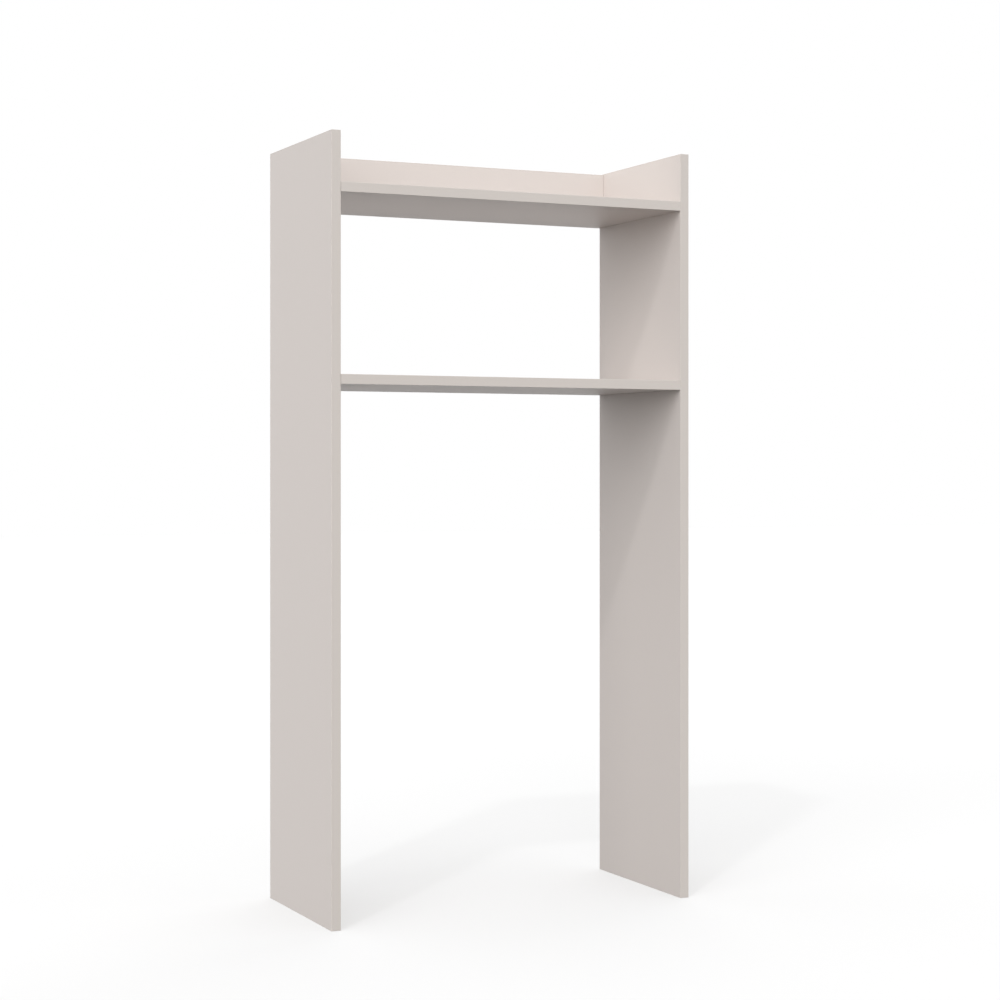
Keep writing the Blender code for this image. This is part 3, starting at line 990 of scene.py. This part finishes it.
@dataclass(frozen=True)
class CamBolt(Fixing):
    """A turned cam bolt: recessed head, neck, shank, collar and a helical wood thread."""

    towards: Facing
    kind = "cam_bolt"
    head_radius: float = 0.0034
    head_length: float = 0.0030
    head_chamfer: float = 0.0006
    neck_radius: float = 0.0020
    neck_length: float = 0.0048
    shank_radius: float = 0.0030
    collar_radius: float = 0.0038
    collar_length: float = 0.0014
    ease: float = 0.00015
    thread_length: float = 0.0115
    thread_core: float = 0.0018
    thread_crest: float = 0.0025
    pitch: float = 0.0028
    rings_per_turn: int = 34
    flank_share: float = 0.16
    crest_share: float = 0.04
    tip_share: float = 0.55
    run_out_share: float = 0.5
    driver: BarSlot = BarSlot(half_length=0.0019, half_width=0.00045)
    recess_depth: float = 0.0011
    recess_taper: float = 0.45
    recess_sink_shares: Shares = (0.0, 0.06, 0.95, 1.0)
    around: int = 72

    @property
    def length(self) -> float:
        """Length of the bolt, from the thread's tip to the head's end."""
        return float(self.span.size[self.towards.axis])

    @property
    def angles(self) -> Array:
        """Angles of each ring's points."""
        return self.driver.angles(self.around)

    def fit(self) -> None:
        """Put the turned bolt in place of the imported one."""
        rings = np.concatenate((self.thread(), turned(self.outline(), self.angles), self.recess()))
        seat = Seat(self.span.middle_of(self.towards), -self.towards.vector, Facing.TOP.vector)
        self.shop.add(f"{self.node}_turned", Surface.of_rings(rings), seat, Slot.BOLT, self.node)

    def thread(self) -> Array:
        """The thread, from the tip at height 0 up to the collar.

        The radius is the core's plus a ridge's that climbs one pitch a turn. At height h
        and angle a its phase is h / pitch - a / full turn, and it falls off on both sides
        of phase 0, at the tip and under the collar.

        Returns:
            Rings of shape (rings, angles, 3).
        """
        rings = int(self.thread_length / self.pitch * self.rings_per_turn)
        height = np.linspace(0, self.thread_length, rings)[:, None]
        phase = (height / self.pitch - self.angles / math.tau) % 1.0
        away = np.minimum(phase, 1 - phase)
        ridge = 1 - smooth_step((away - self.crest_share) / self.flank_share)
        tip = smooth_step(height / self.pitch)
        fade = tip * smooth_step((self.thread_length - height) / (self.run_out_share * self.pitch))
        core = self.thread_core * (self.tip_share + (1 - self.tip_share) * tip)
        radius = core + (self.thread_crest - self.thread_core) * ridge * fade
        return ringed(radius, height, self.angles)

    def outline(self) -> Array:
        """Half outline from the collar to the head's end, its edges eased.

        Returns:
            Radii and heights, of shape (points, 2).
        """
        ease, chamfer = self.ease, self.head_chamfer
        wide, middle, thin, top = self.collar_radius, self.shank_radius, self.neck_radius, self.head_radius
        collar, end = self.thread_length, self.length
        shank, head = collar + self.collar_length, end - self.head_length
        neck = head - self.neck_length
        return np.array((
            (wide - ease, collar), (wide, collar + ease), (wide, shank - ease), (wide - ease, shank),
            (middle, shank), (middle, neck - (middle - thin)), (thin, neck), (thin, head),
            (top - ease, head), (top, head + ease), (top, end - chamfer), (top - chamfer, end),
        ))

    def recess(self) -> Array:
        """The driver's cross recess in the head's end, which tapers as it sinks.

        Returns:
            Rings of shape (rings, angles, 3).
        """
        sink = np.array(self.recess_sink_shares)[:, None]
        radius = self.driver.radius(self.angles) * (1 - self.recess_taper * sink)
        return ringed(radius, self.length - self.recess_depth * sink, self.angles)


@dataclass(frozen=True)
class Dowel(Fixing):
    """A fluted beech dowel with eased ends."""

    kind = "dowel"
    flutes: int = 18
    flute_depth: float = 0.00022
    flute_points: int = 8
    end_ease: float = 0.0010
    end_radius_share: float = 0.76
    end_points: int = 6
    grain_spread: float = 7.0

    def fit(self) -> None:
        """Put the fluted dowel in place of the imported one, its grain unlike the others'."""
        middle = self.span.centre
        up, along, _ = np.roll(np.eye(3), -self.span.long_axis, axis=0)
        name, shift = f"{self.node}_fluted", middle * self.grain_spread
        self.shop.add(name, self.skin(), Seat(middle, up, along), Slot.DOWEL, self.node, grain_shift=shift)

    def skin(self) -> Surface:
        """The dowel about its middle.

        At angle a the radius drops by a flute's depth times (1 - cos(n a)) / 2, for n
        flutes, and the ends round in by a quarter ellipse.

        Returns:
            The closed skin about the dowel's axis.
        """
        length, radius = self.span.size.max(), self.span.across(self.span.long_axis) / 2
        angles = even_angles(self.flutes * self.flute_points)
        inward, rise = quarter_round(1.0, self.end_points).T
        share = (1 - (1 - self.end_radius_share) * inward)[:, None]
        height = (length / 2 - self.end_ease * rise)[:, None]
        fluted = radius - self.flute_depth * (1 - np.cos(self.flutes * angles)) / 2
        foot, top = ringed(fluted * share, -height, angles), ringed(fluted * share, height, angles)
        return Surface.of_rings(np.concatenate((foot, top[::-1])))


@dataclass(frozen=True)
class CoverCap(Fixing):
    """A moulded cap with a shallow crown, and the blade that grips the cam's slot."""

    kind = "cam_cap"
    lip_thickness: float = 0.0010
    blade: BarSlot = BarSlot(half_length=0.0037, half_width=0.0005, crossed=False)
    blade_shares: Shares = (0.5, 0.86, 1.0, 1.0)
    blade_depth_shares: Shares = (1.0, 1.0, 0.82, 0.0)
    lip_shares: Shares = (0.35, 0.7, 1.0)
    edge_share: float = 0.16
    crown_power: float = 6.0
    crown_points: int = 14
    around: int = 96

    def fit(self) -> None:
        """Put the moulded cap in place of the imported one."""
        up = Facing.TOP.vector
        seat = Seat(self.span.middle_of(Facing.TOP) - up * self.lip_thickness, up, Facing.RIGHT.vector)
        self.shop.add(f"{self.node}_moulded", self.skin(), seat, Slot.CAP, self.node)

    def skin(self) -> Surface:
        """The cap, its seat at height 0.

        Rings run from the blade's tip up its walls and out under the lip, where the
        rectangle turns into the rim's circle. On the crown, the radius' share to the
        crown's power plus the square of the height's share is 1.

        Returns:
            The closed skin about the cap's axis.
        """
        radius = self.span.across(Facing.TOP.axis) / 2
        blade_depth = self.span.size[Facing.TOP.axis] - self.lip_thickness
        angles = self.blade.angles(self.around)
        blade = self.blade.radius(angles)
        share, depth = np.array((self.blade_shares, self.blade_depth_shares))[..., None]
        walls = ringed(blade * share, -blade_depth * depth, angles)
        edge = self.lip_thickness * self.edge_share
        blend = np.array(self.lip_shares)[:, None]
        under = ringed(blade + (radius - edge - blade) * blend, np.zeros(1), angles)
        arc = np.linspace(math.pi / 2, 0, self.crown_points)[:-1]
        crown_radius = radius * np.sin(arc) ** (2 / self.crown_power)
        crown_height = edge + (self.lip_thickness - edge) * np.cos(arc)
        crown = turned(np.stack((crown_radius, crown_height), axis=-1), angles)
        return Surface.of_rings(np.concatenate((walls, under, crown)))


@dataclass(frozen=True)
class Joint(Fitting):
    """What holds a board's end to a side panel: a cam lock, its bolt and a dowel."""

    stem: str
    cam_opens: Facing
    side: Facing

    def fit(self) -> None:
        """Fit the three fixings."""
        CamLock(self.shop, self.stem, self.cam_opens, self.side).fit()
        CamBolt(self.shop, self.stem, self.side).fit()
        Dowel(self.shop, self.stem).fit()


@dataclass(frozen=True)
class Board(Fitting):
    """A melamine-faced board with its edge bands."""

    node: str
    stem: str
    banded: tuple[Facing, ...]

    def build(self) -> None:
        """Make the board and fit its bands."""
        surface, finish = Surface.of_node(self.node), Melamine(self.node).made()
        self.shop.add(f"{self.node}_board", surface, ROW_SEAT, Slot.BOARD, self.node, material=finish)
        for facing in self.banded:
            Band(self.shop, f"{self.stem}_{facing}", self.node, facing).fit()


@dataclass(frozen=True)
class SidePanel(Fitting):
    """A full-height side panel with a band on each of its four edges."""

    side: Facing

    def build(self) -> None:
        """Dress the panel and fit its bands."""
        stem = f"{self.side}_side"
        Board(self.shop, f"{stem}_panel", stem, (*EDGES, Facing.BOTTOM, Facing.TOP)).build()


@dataclass(frozen=True)
class Shelf(Fitting):
    """A shelf, its two bands, and the fixings at its four corners."""

    node: str
    cams_open: Facing
    capped: bool

    def build(self) -> None:
        """Dress the shelf and fit its bands, joints and caps."""
        Board(self.shop, self.node, self.node, EDGES).build()
        for side in SIDES:
            for end in EDGES:
                stem = f"{self.node}_{side}_{end}"
                Joint(self.shop, stem, self.cams_open, side).fit()
                if self.capped:
                    CoverCap(self.shop, stem).fit()


@dataclass(frozen=True)
class BackRail(Fitting):
    """The rail at the back of the tray, with its band and its fixings."""

    node: str = "back_rail"
    feet: tuple[str, ...] = ("left", "middle", "right")

    def build(self) -> None:
        """Dress the rail and fit its band, joints and foot dowels."""
        Board(self.shop, self.node, self.node, (Facing.TOP,)).build()
        for side in SIDES:
            Joint(self.shop, f"{self.node}_{side}", Facing.BACK, side).fit()
        for foot in self.feet:
            Dowel(self.shop, f"{self.node}_foot_{foot}").fit()


@dataclass(frozen=True)
class Lamp:
    """A round lamp so far off that its light comes evenly."""

    name: str
    heading: float
    height: float
    spread: float
    share: float

    def hang(self) -> None:
        """Hang the lamp, which adds its share of plain light to a face that looks at it.

        A white face is at plain light where pi watts reach each square metre.
        """
        lamp = bpy.data.lights.new(self.name, "SUN")
        lamp.energy = self.share * math.pi
        lamp.angle = math.radians(self.spread)
        turn = (math.radians(90 - self.height), 0.0, math.radians(self.heading))
        linked(self.name, lamp).rotation_euler = turn


@dataclass(frozen=True)
class Studio:
    """A plain pale studio: an even white dome, three lamps, and a floor.

    Headings, heights and spreads are degrees. A heading of 0 is in front, -90 on the left.
    """

    dome: float = 0.96
    lamps: tuple[Lamp, ...] = (
        Lamp("soft_box", heading=-45, height=15, spread=60, share=0.56),
        Lamp("key", heading=-45, height=47, spread=3, share=0.12),
        Lamp("fill", heading=140, height=15, spread=60, share=0.30),
    )
    floor_reach: float = 20.0
    floor_bounce: float = 0.08
    floor_lit_share: float = 0.55
    floor_lit_tone: float = 0.80

    def build(self) -> None:
        """Set the dome, the lamps and the floor, and the plain view transform."""
        bpy.context.scene.view_settings.view_transform = "Standard"
        self.raise_dome()
        for lamp in self.lamps:
            lamp.hang()
        self.lay_floor()
        log.info("studio: dome %.2f, %d lamps, floor %.2f", self.dome, len(self.lamps), self.floor_bounce)

    def raise_dome(self) -> None:
        """A dome that lights at its own strength and shows as plain white."""
        world = bpy.data.worlds.new("white_dome")
        bpy.context.scene.world = world
        tree = Tree(world)
        lit = tree.node("Background", inputs={"Color": WHITE, "Strength": self.dome})
        shown = tree.node("Background", inputs={"Color": WHITE, "Strength": 1.0})
        tree.end(tree.mixed_shader(tree.seen_directly(), lit, shown), "World")

    def lay_floor(self) -> None:
        """A pale floor that shows white, keeps the shadow, and lights softly from below."""
        mesh = bpy.data.meshes.new("floor")
        corners = np.array(((-1, -1, 0), (1, -1, 0), (1, 1, 0), (-1, 1, 0))) * self.floor_reach
        mesh.from_pydata(corners.tolist(), [], [(0, 1, 2, 3)])
        tree = Tree(bpy.data.materials.new("pale_floor"))
        white = tree.node("Emission", inputs={"Color": WHITE, "Strength": 1.0})
        greys = ((tone, tone, tone, 1.0) for tone in (self.floor_lit_tone, self.floor_bounce))
        lit, bounced = (tree.node("BsdfDiffuse", inputs={"Color": grey}) for grey in greys)
        shown = tree.mixed_shader(self.floor_lit_share, white, lit)
        tree.end(tree.mixed_shader(tree.seen_directly(), bounced, shown), "Material")
        mesh.materials.append(tree.owner)
        linked("floor", mesh)


@dataclass(frozen=True)
class PhotoCamera:
    """The photograph's camera, level, the horizon a little above the frame's middle."""

    place: Triple = (-1.5448, -3.3995, 0.7361)
    heading: float = math.radians(-24.98)
    lens_mm: float = 78.07
    sensor_mm: float = 36.0
    horizon_rise_share: float = 0.0299

    def build(self) -> None:
        """Make the camera and let the scene look through it."""
        lens = bpy.data.cameras.new("photo_camera")
        lens.lens = self.lens_mm
        lens.sensor_width = self.sensor_mm
        lens.shift_y = -self.horizon_rise_share
        camera = linked("photo_camera", lens)
        camera.location = self.place
        camera.rotation_euler = (math.pi / 2, 0.0, self.heading)
        bpy.context.scene.camera = camera


def main() -> None:
    """Build the cabinet's looks, the studio and the camera."""
    logging.basicConfig(level=logging.INFO, format="%(message)s")
    shop = Shop()
    for side in SIDES:
        SidePanel(shop, side).build()
    Shelf(shop, "lower_shelf", cams_open=Facing.BOTTOM, capped=False).build()
    Shelf(shop, "upper_shelf", cams_open=Facing.TOP, capped=True).build()
    BackRail(shop).build()
    log.info("%d pieces", shop.pieces)
    Studio().build()
    PhotoCamera().build()


if __name__ == "__main__":
    main()
